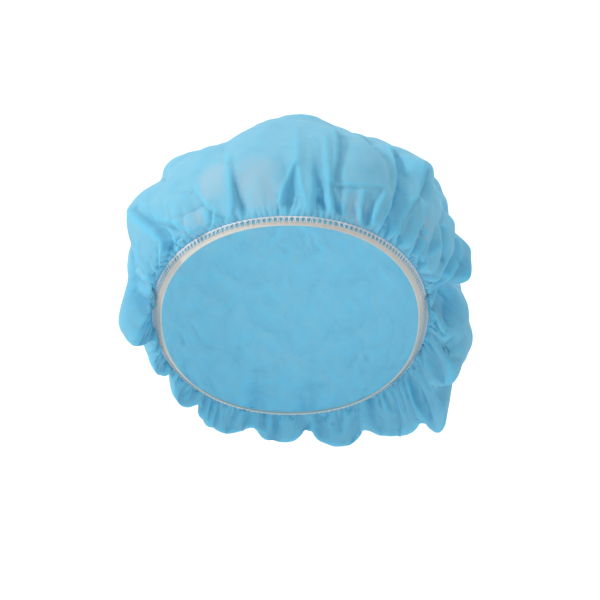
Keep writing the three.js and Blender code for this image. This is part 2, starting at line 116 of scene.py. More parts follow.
folds = [
    # lobes and notches of the outline
    fold([(32, 0.15), (30, 0.44)], (8, 9), (6, 6), 1.6, 0.2),
    fold([(44, 0.34), (49, 0.38)], (12, 12), (-8.5, -8.5), 1.6),
    fold([(54, 0.34), (57, 0.42)], (8, 8), (6, 6), 1.5),
    fold([(61, 0.36), (64, 0.43)], (11, 11), (-3, -3)),
    fold([(70, 0.0), (66, 0.09), (65, 0.24), (62, 0.31)], (7, 6), (7, 8), 1.4, 0.4),
    fold([(73, 0.19), (73, 0.26)], (10, 10), (-10, -9)),
    fold([(80, 0.16), (84, 0.34)], (11, 12), (15, 14), 1.6),
    fold([(69, 0.11), (74, 0.12), (80, 0.15)], (6, 8), (9, 12), 1.5),
    fold([(69, 0.33), (76, 0.35)], (10, 10), (4, 4)),
    fold([(98, 0.32), (92, 0.42)], (14, 14), (6, 6)),
    fold([(102, 0.12), (102, 0.22)], (14, 14), (-4, -4)),
    fold([(115, 0.04), (117, 0.22)], (9, 10), (12, 10), 1.6),
    fold([(133.5, 0.05), (129.5, 0.14)], (17, 17), (-11, -11)),
    fold([(341, 0.3), (337, 0.42)], (9, 9), (3.5, 3), 1.5),
    fold([(318, 0.31), (311, 0.385), (303, 0.44)], (5.5, 7), (3, 7), 1.4),
    fold([(318, 0.42), (310, 0.48)], (13, 13), (-2.5, -3)),
    fold([(304, 0.27), (299, 0.32)], (15, 15), (-6, -6)),
    fold([(289, 0.12), (291, 0.26)], (13, 13), (16, 15), 1.6),
    fold([(264, 0.29), (276, 0.25)], (11, 11), (6, 6), 1.6),
    fold([(271, 0.06), (275, 0.15)], (13, 13), (-7.5, -7.5)),
    fold([(264, 0.0), (261, 0.16)], (9, 10), (9, 8)),
    # over the forehead
    fold([(1.7, 0.162), (0.8, 0.102), (0.0, 0.053), (359.4, 0.013)], (0.8, 5.6), (1.2, 4.2), 2.4),
    fold([(1.1, 0.168), (359.7, 0.13), (358.3, 0.091), (357.2, 0.053), (356.4, 0.013)],
         (1.3, 1.8), (-1.2, -2.0), 1.2),
    fold([(1.9, 0.168), (2.8, 0.113), (4.2, 0.069), (5.0, 0.013)], (1.3, 1.8), (-1.0, -2.0), 1.2),
    fold([(2.2, 0.069), (1.9, 0.043), (1.4, 0.013)], (0.9, 1.2), (1.2, 2.6), 1.2, 0.3),
    fold([(1.4, 0.064), (0.8, 0.032), (0.3, 0.013)], (1.0, 1.5), (-0.8, -2.0), 1.2),
    fold([(1.9, 0.173), (1.9, 0.221), (1.9, 0.336)], (3.2, 3.2), (-1.8, -1.0), 1.3),
    fold([(6.1, 0.264), (6.7, 0.199), (7.5, 0.146), (8.1, 0.108)], (1.4, 1.0), (0.2, 1.1), 1.2),
    fold([(8.6, 0.293), (8.3, 0.189), (8.6, 0.14), (9.2, 0.097), (8.6, 0.063)],
         (2.0, 1.6), (0.4, 3.0), 1.3, -0.3),
    fold([(8.6, 0.069), (8.1, 0.037), (8.1, 0.008)], (1.0, 1.6), (1.5, 4.0), 1.4),
    fold([(8.9, 0.069), (10.3, 0.037), (11.7, 0.012)], (1.0, 1.8), (1.5, 4.4), 1.4),
    fold([(8.6, 0.063), (9.2, 0.032), (10.0, 0.004)], (1.0, 1.4), (-1.0, -2.4), 1.2),
    fold([(9.7, 0.278), (10.0, 0.178), (10.8, 0.097), (11.7, 0.058), (13.1, 0.012)],
         (3.0, 1.8), (-1.2, -2.0), 1.6),
    fold([(4.7, 0.157), (5.6, 0.091), (6.4, 0.022)], (3.0, 2.4), (-0.6, -1.6), 1.6),
    # towards +X
    fold([(13.1, 0.342), (13.3, 0.271), (12.8, 0.199), (11.9, 0.135)], (3.4, 2.6), (-1.0, -1.2), 1.2, -0.8),
    fold([(15.3, 0.328), (14.7, 0.256), (13.9, 0.194), (12.8, 0.14)], (7.0, 4.6), (3.6, 2.6), 1.2, 0.8),
    fold([(11.9, 0.113), (13.1, 0.074), (14.4, 0.043), (15.8, 0.0)], (0.9, 1.9), (1.4, 4.2), 1.4, 0.2),
    fold([(12.8, 0.107), (14.4, 0.068), (16.4, 0.032), (17.8, 0.008)], (1.2, 1.7), (-0.8, -2.2), 1.2),
    fold([(13.1, 0.124), (19.7, 0.14), (27.2, 0.167)], (1.3, 1.2), (-0.5, -0.3), 1.2),
    fold([(13.1, 0.113), (19.7, 0.129), (27.2, 0.156)], (1.0, 1.0), (0.6, 0.3), 1.1),
    fold([(20.8, 0.124), (20.8, 0.074), (21.7, 0.022)], (1.0, 1.5), (-0.8, -2.2), 1.2),
    fold([(21.7, 0.118), (21.9, 0.08), (23.3, 0.022)], (1.0, 2.0), (0.6, 3.0), 1.2, 0.4),
    fold([(19.2, 0.068), (20.3, 0.012)], (1.5, 2.0), (0.6, 2.4), 1.3),
    fold([(26.1, 0.145), (24.4, 0.102), (23.9, 0.063), (24.7, 0.017)], (1.1, 1.6), (0.8, 2.4), 1.2, -0.3),
    fold([(27.5, 0.151), (25.8, 0.107), (25.0, 0.063), (26.1, 0.017)], (2.2, 1.9), (-1.0, -1.8), 1.2, 0.6),
    fold([(35.6, 0.417), (33.3, 0.306), (33.1, 0.241), (32.2, 0.188), (29.4, 0.113),
          (28.1, 0.058), (28.3, 0.012)], (3.4, 2.5), (-2.1, -2.0), 1.3, -0.75),
    fold([(35.6, 0.376), (35.0, 0.306), (34.4, 0.234), (33.3, 0.182), (31.4, 0.118),
          (29.7, 0.063), (30.0, 0.008)], (3.4, 2.4), (3.8, 4.6), 1.2, 0.7),
    fold([(33.9, 0.219), (35.6, 0.193), (38.3, 0.203), (40.8, 0.233)], (1.6, 1.6), (0.7, 0.4), 1.2),
    fold([(42.2, 0.319), (41.7, 0.276), (40.3, 0.233), (37.2, 0.171), (35.6, 0.123), (35.3, 0.068)],
         (3.4, 2.6), (-1.9, -1.7), 1.3, -0.75),
    fold([(44.4, 0.318), (43.9, 0.276), (41.9, 0.225)], (3.0, 2.6), (3.4, 2.0), 1.4, 0.4),
    fold([(35.8, 0.107), (36.4, 0.068), (38.1, 0.022), (38.1, 0.0)], (1.0, 1.7), (1.6, 4.2), 1.2),
    fold([(41.4, 0.208), (41.9, 0.139), (42.2, 0.084), (45.3, 0.012)], (3.2, 2.2), (-1.7, -2.0), 1.3, -0.6),
    fold([(43.6, 0.133), (44.2, 0.09), (45.3, 0.037), (48.1, 0.008)], (1.2, 1.8), (1.2, 4.6), 1.2),
    fold([(46.1, 0.1), (46.7, 0.062), (51.7, 0.008)], (1.2, 1.4), (-1.0, -2.2), 1.2),
    fold([(48.1, 0.105), (48.6, 0.067), (53.9, 0.012)], (1.2, 1.8), (1.2, 4.0), 1.2),
    fold([(52.8, 0.142), (50.8, 0.083), (54.7, 0.026)], (1.6, 1.6), (-1.4, -2.0), 1.3),
    fold([(42.8, 0.117), (46.9, 0.111)], (1.2, 1.2), (1.2, 0.8), 1.2),
    fold([(62.2, 0.41), (58.9, 0.328), (51.4, 0.2), (54.4, 0.163), (58.6, 0.135)],
         (2.6, 2.6), (1.6, 3.4), 1.4),
    fold([(60.8, 0.27), (67.5, 0.26), (67.8, 0.21), (67.8, 0.169), (70.3, 0.127),
          (69.7, 0.064), (71.4, 0.0)], (3.4, 2.4), (-2.2, -2.0), 1.3, -0.7),
    fold([(68.6, 0.194), (69.2, 0.163), (72.5, 0.142), (71.4, 0.085), (74.7, 0.008)],
         (2.4, 2.0), (2.6, 4.0), 1.2, 0.3),
    fold([(60.0, 0.0), (59.2, 0.061), (68.1, 0.148)], (1.5, 1.5), (-1.6, -1.0), 1.2),
    fold([(63.6, 0.0), (62.2, 0.066), (70.0, 0.137)], (1.4, 1.4), (2.2, 1.0), 1.2),
    fold([(73.6, 0.146), (84.4, 0.171), (86.1, 0.125)], (2.0, 2.4), (2.6, 2.6), 1.3),
    # towards -X
    fold([(342.8, 0.237), (343.6, 0.179), (343.9, 0.114), (343.6, 0.064), (342.5, 0.013)],
         (2.6, 2.2), (-1.1, -2.0), 1.2, -0.6),
    fold([(343.6, 0.206), (345.0, 0.147), (345.8, 0.086), (346.7, 0.048), (347.5, 0.017), (349.2, 0.004)],
         (1.6, 2.6), (1.0, 2.9), 1.1, 0.7),
    fold([(350.0, 0.008), (353.3, 0.017), (356.1, 0.043)], (1.4, 1.4), (1.8, 0.5), 1.2),
    fold([(339.4, 0.316), (341.4, 0.217)], (2.4, 2.0), (0.4, 0.5), 1.2),
    fold([(336.9, 0.075), (335.8, 0.043), (333.6, 0.0)], (0.9, 1.4), (1.4, 3.4), 1.2, -0.3),
    fold([(337.8, 0.069), (336.7, 0.027), (335.3, 0.0)], (1.2, 1.6), (-0.8, -2.0), 1.2),
    fold([(340.8, 0.043), (339.2, 0.0)], (1.1, 1.5), (0.8, 2.6), 1.2),
    fold([(331.1, 0.185), (333.1, 0.147), (334.2, 0.114), (336.7, 0.075), (339.7, 0.043)],
         (1.4, 1.5), (0.5, 1.5), 1.1),
    fold([(332.2, 0.18), (334.2, 0.136), (335.8, 0.103)], (1.5, 1.4), (-0.6, -0.8), 1.2),
    fold([(322.5, 0.216), (327.2, 0.19), (330.8, 0.169)], (1.6, 1.4), (0.3, 0.6), 1.2),
    fold([(333.9, 0.109), (328.9, 0.109), (323.3, 0.125)], (1.4, 1.6), (1.1, 0.4), 1.1),
    fold([(320.8, 0.136), (325.0, 0.098), (328.1, 0.064), (329.7, 0.013)],
         (2.2, 2.2), (-1.6, -2.0), 1.2, 0.6),
    fold([(314.7, 0.172), (320.6, 0.119), (324.7, 0.075), (325.0, 0.038), (321.7, 0.004)],
         (1.8, 1.8), (0.8, 3.8), 1.1, -0.4),
    fold([(323.1, 0.069), (318.9, 0.038)], (1.4, 1.6), (0.8, 2.6), 1.2),
    fold([(303.3, 0.296), (309.4, 0.218), (313.6, 0.156), (316.7, 0.108), (316.1, 0.08),
          (311.7, 0.058), (301.4, 0.016)], (3.2, 2.2), (-1.8, -2.2), 1.3, -0.6),
    fold([(306.7, 0.275), (309.7, 0.233), (313.6, 0.177), (317.2, 0.124), (318.9, 0.086),
          (317.2, 0.053), (310.0, 0.008)], (2.2, 2.8), (2.6, 5.4), 1.3, 0.5),
    fold([(315.3, 0.102), (311.9, 0.074), (302.2, 0.016)], (1.2, 1.3), (0.8, 2.4), 1.2),
    fold([(306.7, 0.16), (304.4, 0.127), (303.3, 0.084), (293.6, 0.016)], (1.6, 1.6), (-1.6, -2.0), 1.2),
    fold([(304.7, 0.164), (302.8, 0.132), (301.1, 0.089), (295.6, 0.051), (289.2, 0.0)],
         (1.3, 2.2), (1.4, 4.8), 1.2),
    fold([(306.7, 0.095), (305.0, 0.062), (296.4, 0.008)], (1.1, 1.3), (0.8, 3.0), 1.2),
    fold([(286.7, 0.209), (299.4, 0.083), (291.4, 0.021)], (2.0, 1.8), (-1.8, -1.6), 1.3),
    fold([(285.3, 0.209), (288.1, 0.143), (289.2, 0.055)], (2.4, 2.4), (2.6, 3.0), 1.3),
    fold([(283.9, 0.172), (284.4, 0.131), (285.3, 0.09), (277.8, 0.004)], (1.4, 1.7), (1.4, 3.6), 1.2),
    # round the sides
    fold([(279, 0.08), (277, 0.01)], (2.3, 3.1), (2.5, 5), 1.3),
    fold([(74, 0.065), (82, 0.05), (92, 0.058)], (2, 2), (6.2, 5), 1.2),
    fold([(94, 0.13), (96, 0.08), (95, 0.02)], (2.3, 2.7), (3.8, 6.2), 1.2),
    fold([(78, 0.05), (80, 0.01)], (1.9, 2), (3.1, 5), 1.2),
    fold([(86, 0.04), (87, 0.0)], (1.9, 2), (3.1, 5), 1.2),
    fold([(105, 0.09), (104, 0.01)], (2.3, 2.7), (3.8, 6.2), 1.3),
    fold([(129, 0.12), (127, 0.02)], (2.3, 3.1), (6.2, 6.2), 1.3),
    # long slack folds over the top
    fold([(342, 0.44), (338, 0.66)], (12, 13), (2.4, 2)),
    fold([(20, 0.44), (26, 0.68)], (12, 13), (3, 2.4)),
    fold([(72, 0.45), (62, 0.72)], (13, 14), (4, 3)),
    fold([(290, 0.42), (298, 0.7)], (13, 14), (3.4, 2.6)),
]

# Folds round the back, in turn a long valley and a short ridge
backFolds = {"count": 13, "first": 136, "last": 250, "short": 0.17, "long": 0.36, "slant": 4,
             "valley": 8, "ridge": 3.2, "foot": 0.01, "width": (7, 11), "upperShare": 0.6}
for k in range(backFolds["count"]):
    angle = backFolds["first"] + (backFolds["last"] - backFolds["first"]) * k / (backFolds["count"] - 1)
    deep = k % 2 == 0
    reach = backFolds["long"] if deep else backFolds["short"]
    depth = backFolds["valley"] if deep else -backFolds["ridge"]
    slant = (k % 3 - 1) * backFolds["slant"]
    folds.append(fold([(angle, backFolds["foot"]), (angle + slant, reach)], backFolds["width"],
                      (depth, depth * backFolds["upperShare"]), 1.3 if deep else 1.6))

# Pleats that the elastic draws in, finest at the hem and merging upwards. Heights are mm above the hem.
pleats = [
    dict(count=214, depth=0.5, start=-4, peak=3, end=12),
    dict(count=109, depth=1.2, start=1.5, peak=6, end=21),
    dict(count=57, depth=1.7, start=3, peak=13, end=38),
    dict(count=29, depth=1.8, start=8, peak=26, end=75),
]

# Patches where a single layer lies smooth and looks paler, partly a painted highlight of light falling
# full on these flat panels: angle, mm above the hem, and half sizes in degrees and in mm
palePanels = [(350.5, 24, 6, 17), (20, 12, 5, 9), (330, 15, 4, 8), (338, 34, 4, 12), (45, 26, 3, 9)]

pleatLook = {
    "sideways": 0.8,  # how far a pleat wanders from its even place
    "usual": 0.75,
    "varies": 0.45,
    "least": 0.1,
    "most": 1.4,
    "meanPuff": 0.64,  # taken off, so that pleats leave the crown's size alone
    "keptByHem": 0.8,  # the finest pleats keep at least this much on the smooth panels
    "wanderSeed": 31,
    "strengthSeed": 47,
}

# Smooth panels between the gathers, where the pleats fade: angle, half-width in degrees, what is left
calmPanels = [(351, 5, 0.25), (18.5, 5, 0.3), (27.5, 2.4, 0.3), (340, 3, 0.4), (4.6, 1, 0.5), (63, 3, 0.5)]

crownMesh = {
    "columns": 1296,
    # for each zone: where it ends and how far apart its rows are, in mm, and which columns it keeps
    "zones": [(3.4, 0.85, 1), (14, 1.1, 1), (46, 1.15, 2), (112, 1.6, 2), (190, 2.6, 4), (222, 3.2, 8)],
    "evenUpTo": 20,  # mm above the hem: rows are evenly high here and even shares of the cloth farther up
    "evenFade": 120,
    "foldsGrowOver": 9,  # mm above the stitched strip
    "fineFold": 6.5,  # folds up to this wide (mm) are laid after the cloth run, so that they stay crisp
    "roundedBy": 0.7,  # mm, at a fold's bottom or top
}

# Slight creases all over, left out by the hem and at the middle, and weaker over the forehead
crumpleLook = {
    "cell": 34,
    "depth": 1.5,
    "fineCell": 0.55,  # a second, finer layer, as shares of the first
    "fineDepth": 0.45,
    "spacing": 0.8,
    "warp": 0.12,
    "seed": 11,
    "lessAtFront": 0.72,
    "frontSpan": 75,  # degrees to each side
    "frontUpTo": 0.5,  # share of the way up
    "frontFade": 0.15,
    "topFade": 0.1,
}

tilt = cap["openingTilt"]
across = np.array([1.0, 0.0, 0.0])
forward = np.array([0.0, -math.cos(tilt), math.sin(tilt)])
rise = np.array([0.0, math.sin(tilt), math.cos(tilt)])


def openingRadius(angle):
    p = cap["openingSquareness"]
    across_ = np.abs(np.sin(angle) / cap["openingHalfWidth"]) ** p
    along_ = np.abs(np.cos(angle) / cap["openingHalfLength"]) ** p
    return (across_ + along_) ** (-1 / p)


def place(angle, out, up):
    outwards = np.sin(angle)[..., None] * across + np.cos(angle)[..., None] * forward
    return np.asarray(out)[..., None] * outwards + np.asarray(up)[..., None] * rise


def bandPoint(angle, along, off):  # along runs up the elastic's width, off stands out from its face
    c, s = math.cos(cap["elasticLean"]), math.sin(cap["elasticLean"])
    return openingRadius(angle) + along * c + off * s, along * s - off * c


def elasticShown(angle):
    side = np.sin(angle) ** 2
    return cap["elasticShownFront"] * (1 - side) + cap["elasticShownSide"] * side


def closedSpline(table, angle):  # a smooth closed curve through rows that are evenly spaced round the opening
    n = len(table)
    at = (np.degrees(angle) % 360) / 360 * n
    i = np.floor(at).astype(int)
    t = (at - i)[..., None]
    a, b, c, d = (table[(i + k) % n] for k in (-1, 0, 1, 2))
    return 0.5 * (2 * b + (c - a) * t + (2 * a - 5 * b + 4 * c - d) * t ** 2
                  + (3 * b - a - 3 * c + d) * t ** 3)


def centripetal(p, steps):  # a curve through p[1] to p[-2]; p is stations, columns, 2
    pieces = []
    for k in range(1, len(p) - 2):
        gaps = [np.maximum(np.linalg.norm(p[k + j + 1] - p[k + j], axis=-1), 1e-6) ** 0.5 for j in (-1, 0, 1)]
        g0, g1, g2 = (g[..., None] for g in gaps)
        first = (p[k] - p[k - 1]) / g0 - (p[k + 1] - p[k - 1]) / (g0 + g1) + (p[k + 1] - p[k]) / g1
        last = (p[k + 1] - p[k]) / g1 - (p[k + 2] - p[k]) / (g1 + g2) + (p[k + 2] - p[k + 1]) / g2
        first, last = first * g1, last * g1
        for t in np.arange(steps) / steps:
            pieces.append((2 * t ** 3 - 3 * t ** 2 + 1) * p[k] + (t ** 3 - 2 * t ** 2 + t) * first
                          + (3 * t ** 2 - 2 * t ** 3) * p[k + 1] + (t ** 3 - t ** 2) * last)
    pieces.append(p[-2])
    return np.array(pieces)


def clothProfiles(angle):  # dense profiles (out, up) of the smooth crown, and how long each is from the hem
    r = openingRadius(angle)
    s = closedSpline(sections, angle)
    off = cap["elasticThickness"] / 2 + cap["hemOff"]
    shown = elasticShown(angle)
    stations = [
        np.stack(bandPoint(angle, shown, off), -1),
        np.stack(bandPoint(angle, shown + cap["hemLength"], off), -1),
    ]
    for k in range(0, 8, 2):
        stations.append(np.stack([r * s[:, k], cap["crownHeight"] * s[:, k + 1]], -1))
    stations.append(np.stack([0 * r, 0 * r + cap["crownHeight"]], -1))
    before = 2 * stations[0] - stations[1]
    beyond = stations[-2] * [-1, 1]
    dense = centripetal(np.array([before] + stations + [beyond]), 40)
    lengths = np.zeros(dense.shape[:2])
    lengths[1:] = np.cumsum(np.linalg.norm(np.diff(dense, axis=0), axis=-1), axis=0)
    return dense, lengths


def rowHeights(longest):  # mm from the hem of each row of the mesh, and which columns it keeps
    heights, keeps = [0.0], [1]
    for end, gap, keep in crownMesh["zones"]:
        start = heights[-1]
        n = max(1, round((end - start) / gap))
        heights += [start + (end - start) * (k + 1) / n for k in range(n)]
        keeps += [keep] * n
    return np.array(heights), keeps


def foldDips(angleDeg, share, out, whole, kinds):
    dips = np.zeros(share.shape)
    nearestOut = 75  # mm from the middle; a fold acts no farther round than three of its widths there
    for f in kinds:
        path = np.array(f["path"], float)
        centre = path[0, 0]
        turns = (path[:, 0] - centre + 180) % 360 - 180
        reach = math.degrees(3 * max(f["width"]) / nearestOut) + 2
        turn = (angleDeg - centre + 180) % 360 - 180
        near = (turn > turns.min() - reach) & (turn < turns.max() + reach)
        sub = np.where(near)[0]
        if len(sub) == 0:
            continue
        o, w, sh = out[:, sub], whole[sub][None, :], share[:, sub]
        x = np.radians(turn[sub])[None, :] * o
        y = sh * w
        best = np.full(x.shape, 1e9)
        bestT = np.zeros(x.shape)
        bestSide = np.zeros(x.shape)
        pieces = len(path) - 1
        for k in range(pieces):
            ax, ay = np.radians(turns[k]) * o, path[k, 1] * w
            bx, by = np.radians(turns[k + 1]) * o, path[k + 1, 1] * w
            dx, dy = bx - ax, by - ay
            t = np.clip(((x - ax) * dx + (y - ay) * dy) / (dx * dx + dy * dy), 0, 1)
            px, py = x - ax - t * dx, y - ay - t * dy
            d = np.hypot(px, py)
            closer = d < best
            best = np.where(closer, d, best)
            bestT = np.where(closer, (k + t) / pieces, bestT)
            bestSide = np.where(closer, np.tanh(px / 1.5), bestSide)
        width = f["width"][0] * (1 - bestT) + f["width"][1] * bestT
        depth = f["depth"][0] * (1 - bestT) + f["depth"][1] * bestT
        width = width * (1 + f["lean"] * bestSide)
        away = (np.hypot(best, crownMesh["roundedBy"]) - crownMesh["roundedBy"]) / width
        shape = np.exp(-away ** f["edge"])
        dips[:, sub] += depth * shape
    deepest = cap["deepestFold"]
    return np.where(dips > 0, deepest * np.tanh(dips / deepest), dips)


def wander(angle, height, seed):  # a slow, smooth, repeating random walk round the opening
    rng = np.random.RandomState(seed)
    value = 0
    for _ in range(7):
        turns = rng.randint(3, 23)
        size, phase, slope = rng.uniform(0.4, 1.1), rng.uniform(0, 6.28), rng.uniform(-0.06, 0.06)
        value = value + size * np.sin(turns * angle + phase + height * slope)
    return value / 1.9  # its usual size is then about 1


def pleatDips(angle, height, kinds):
    left = np.ones(angle.shape)
    for centre, halfWidth, remains in calmPanels:
        turn = (np.degrees(angle) - centre + 180) % 360 - 180
        left = left * (1 - (1 - remains) * np.exp(-(turn / halfWidth) ** 4))
    dips = np.zeros(height.shape)
    for p in kinds:
        k = pleats.index(p)
        drift = pleatLook["sideways"] * wander(angle, height, pleatLook["wanderSeed"] + k)
        phase = p["count"] * angle / 2 + drift
        puff = np.abs(np.sin(phase)) - pleatLook["meanPuff"]
        strength = pleatLook["usual"] + pleatLook["varies"] * wander(
            angle, height * 0.4, pleatLook["strengthSeed"] + k)
        strength = np.clip(strength, pleatLook["least"], pleatLook["most"])
        up = np.clip((height - p["start"]) / (p["peak"] - p["start"]), 0, 1)
        down = np.clip((p["end"] - height) / (p["end"] - p["peak"]), 0, 1)
        envelope = (up * up * (3 - 2 * up)) * (down * down * (3 - 2 * down))
        calm = left if k else np.maximum(left, pleatLook["keptByHem"])
        dips -= p["depth"] * strength * envelope * calm * puff
    return dips


def crumple(points, calm):  # creases between slightly puffed panels, as thin stiff cloth breaks
    rng = np.random.RandomState(crumpleLook["seed"])
    flat = points.reshape(-1, 3)
    cell, deep = crumpleLook["cell"], crumpleLook["depth"]
    heights = np.zeros(len(flat))
    for size, depth in ((cell, deep), (cell * crumpleLook["fineCell"], deep * crumpleLook["fineDepth"])):
        centres = flat[rng.randint(0, len(flat), 4000)]
        kept = []
        for c in centres:
            if all(np.sum((c - other) ** 2) > (crumpleLook["spacing"] * size) ** 2 for other in kept):
                kept.append(c)
        tree = kdtree.KDTree(len(kept))
        for i, c in enumerate(kept):
            tree.insert(c, i)
        tree.balance()
        warped = flat + crumpleLook["warp"] * size * np.sin(flat[:, [1, 2, 0]] / (0.5 * size) + 1.3)
        for i, p in enumerate(warped):
            (_, _, near), (_, _, next_) = tree.find_n(p, 2)
            edge = math.hypot(next_ - near, 0.1 * size) - 0.1 * size
            heights[i] += depth * (min(1, edge / (0.5 * size)) ** 0.9 - 0.6)
    return heights.reshape(points.shape[:2]) * calm


def meshFrom(name, vertices, faces):
    data = bpy.data.meshes.new(name)
    data.from_pydata(vertices.tolist() if hasattr(vertices, "tolist") else vertices, [], faces)
    data.update()
    obj = bpy.data.objects.new(name, data)
    bpy.context.scene.collection.objects.link(obj)
    data.polygons.foreach_set("use_smooth", [True] * len(data.polygons))
    return obj


# A short cloth run on a coarser copy: the cloth is let grow a little, most of all by the hem, so
# that the folds laid above sharpen and buckle as thin stiff cloth does. Only the fine part of the
# movement is kept, so the outline stays.
clothRun = {
    "columnStep": 3,
    "rowGap": 1.8,
    "frames": 15,
    "quality": 5,
    "growAtHem": 0.30,
    "growAbove": 0.08,
    "growFade": 40,
    "tension": 15,
    "bending": 2,
    "hold": 0.05,
    "enlarged": 0.01,  # 1 mm in the run's units: small cloth is steadier ten times its size
    "keptAtFront": 0.35,  # over the forehead the folds laid above stay nearly as they are
    "frontSpan": 80,  # degrees to each side
    "keptBelow": 0.8,  # share of the way up; nearer the middle the columns crowd, so the run is faded out
    "keptUnder": 24,  # mm: movement wider than this is taken out again
    "freeOver": 22,  # mm above the stitched strip, below which all movement is kept
    "fadeOver": 0.25,
    "mostMove": 5,
}


def runCloth(start, growth, held):  # start is rows x columns x 3 in mm, apex last
    rows, columns = growth.shape
    unit = clothRun["enlarged"]
    faces = []
    for r in range(rows - 1):
        for c in range(columns):
            d = (c + 1) % columns
            faces.append((r * columns + c, r * columns + d, (r + 1) * columns + d, (r + 1) * columns + c))
    for c in range(columns):
        faces.append(((rows - 1) * columns + c, (rows - 1) * columns + (c + 1) % columns, rows * columns))
    sheet = meshFrom("clothRun", start * unit, faces)
    pins = sheet.vertex_groups.new(name="pins")
    slack = sheet.vertex_groups.new(name="slack")
    for r in range(rows):
        ring = list(range(r * columns, (r + 1) * columns))
        pins.add(ring, float(held[r]), "REPLACE")
        slack.add(ring, float(growth[r, 0]), "REPLACE")
    pins.add([rows * columns], clothRun["hold"], "REPLACE")
    cloth = sheet.modifiers.new("cloth", "CLOTH")
    settings = cloth.settings
    settings.quality = clothRun["quality"]
    settings.bending_model = "ANGULAR"
    settings.tension_stiffness = clothRun["tension"]
    settings.compression_stiffness = clothRun["tension"]
    settings.shear_stiffness = clothRun["tension"] / 3
    settings.bending_stiffness = clothRun["bending"]
    settings.vertex_group_mass = "pins"
    settings.vertex_group_shrink = "slack"
    settings.shrink_min = -clothRun["growAbove"]
    settings.shrink_max = -clothRun["growAtHem"]
    settings.effector_weights.gravity = 0
    cloth.collision_settings.use_collision = False
    cloth.point_cache.frame_start = 1
    cloth.point_cache.frame_end = clothRun["frames"]
    for step in range(1, clothRun["frames"] + 1):
        bpy.context.scene.frame_set(step)
    moved = sheet.evaluated_get(bpy.context.evaluated_depsgraph_get()).to_mesh()
    ends = np.empty(len(moved.vertices) * 3, np.float32)
    moved.vertices.foreach_get("co", ends)
    ends = ends.reshape(-1, 3) / unit
    bpy.context.scene.frame_set(1)
    data = sheet.data
    bpy.data.objects.remove(sheet)
    bpy.data.meshes.remove(data)
    return ends[:-1].reshape(rows, columns, 3) - start[:-1].reshape(rows, columns, 3)


def fineOnly(move, start, mean):  # takes out what changes slowly over the cloth
    rows, columns = move.shape[:2]
    ring = np.linalg.norm(np.roll(start, -1, 1) - start, axis=-1).sum(1)
    turns = np.fft.fftfreq(columns, 1 / columns)
    fade = np.exp(-0.5 * (turns[None, :] * 2 * math.pi * clothRun["keptUnder"] / ring[:, None]) ** 2)
    slow = np.fft.ifft(np.fft.fft(move, axis=1) * fade[..., None], axis=1).real
    over = np.roll(slow[::-1], columns // 2, axis=1)  # the rows carry on past the middle
    long = np.concatenate([0 * slow, slow, over])
    spread = clothRun["keptUnder"] / clothRun["rowGap"]
    reach = int(3 * spread)
    weights = np.exp(-0.5 * (np.arange(-reach, reach + 1) / spread) ** 2)
    weights /= weights.sum()
    smooth = np.zeros(move.shape)
    for k, w in zip(range(-reach, reach + 1), weights):
        at = np.clip(np.arange(rows) + rows + k, 0, 3 * rows - 1)
        smooth += w * long[at]
    free = np.clip((mean - cap["hemLength"]) / clothRun["freeOver"], 0, 1)
    fine = move - smooth * (free * free * (3 - 2 * free))[:, None, None]
    size = np.maximum(np.linalg.norm(fine, axis=-1, keepdims=True), 1e-9)
    return fine * clothRun["mostMove"] * np.tanh(size / clothRun["mostMove"]) / size


def finer(values, at, wanted):  # smooth steps from rows at one set of heights to another
    slope = np.gradient(values, at, axis=0)
    i = np.clip(np.searchsorted(at, wanted, "right") - 1, 0, len(at) - 2)
    gap = (at[i + 1] - at[i])[:, None, None]
    t = ((wanted - at[i]) / (at[i + 1] - at[i]))[:, None, None]
    return ((2 * t ** 3 - 3 * t ** 2 + 1) * values[i] + (t ** 3 - 2 * t ** 2 + t) * gap * slope[i]
            + (3 * t ** 2 - 2 * t ** 3) * values[i + 1] + (t ** 3 - t ** 2) * gap * slope[i + 1])


def evened(values):  # each point a little nearer to its neighbours, but not the hem's or the last ring's
    round_ = 0.25 * np.roll(values, 1, 1) + 0.5 * values + 0.25 * np.roll(values, -1, 1)
    out = round_.copy()
    out[2:-1] = 0.25 * round_[1:-2] + 0.5 * round_[2:-1] + 0.25 * round_[3:]
    out[:2] = values[:2]
    return out


def settle(grid, height, apex):
    mean = height.mean(1)
    picked = [0]
    for k in range(1, len(mean)):
        if mean[k] - mean[picked[-1]] > 0.95 * clothRun["rowGap"]:
            picked.append(k)
    step = clothRun["columnStep"]
    start = evened(grid[picked][:, ::step])
    fade = np.exp(-mean[picked] / clothRun["growFade"])
    growth = np.repeat(fade[:, None], start.shape[1], 1)
    held = np.where(mean[picked] < 1.4 * cap["hemLength"], 1.0, clothRun["hold"])
    move = runCloth(np.concatenate([start.reshape(-1, 3), apex[None]]), growth, held)
    move = fineOnly(move, start, mean[picked])
    turn = np.arange(start.shape[1]) * 360 / start.shape[1]
    front = np.exp(-(((turn + 180) % 360 - 180) / clothRun["frontSpan"]) ** 4)
    move = move * (1 - (1 - clothRun["keptAtFront"]) * front)[None, :, None]
    share = mean[picked] / mean[-1]
    move *= np.clip((clothRun["keptBelow"] - share) / clothRun["fadeOver"] + 1, 0, 1)[:, None, None] ** 1.5
    n = grid.shape[1]
    rolled = [np.roll(move, -k, 1) for k in (-1, 0, 1, 2)]
    wide = np.empty((len(picked), n, 3))
    for k in range(step):
        t = k / step
        a, b, c, d = rolled
        wide[:, k::step] = 0.5 * (2 * b + (c - a) * t + (2 * a - 5 * b + 4 * c - d) * t ** 2
                                  + (3 * b - a - 3 * c + d) * t ** 3)
    full = finer(wide, mean[picked], mean)
    print("cloth settled, mean move", round(float(np.linalg.norm(full, axis=-1).mean()), 2), "mm")
    return grid + full, apex + full[-1].mean(0)


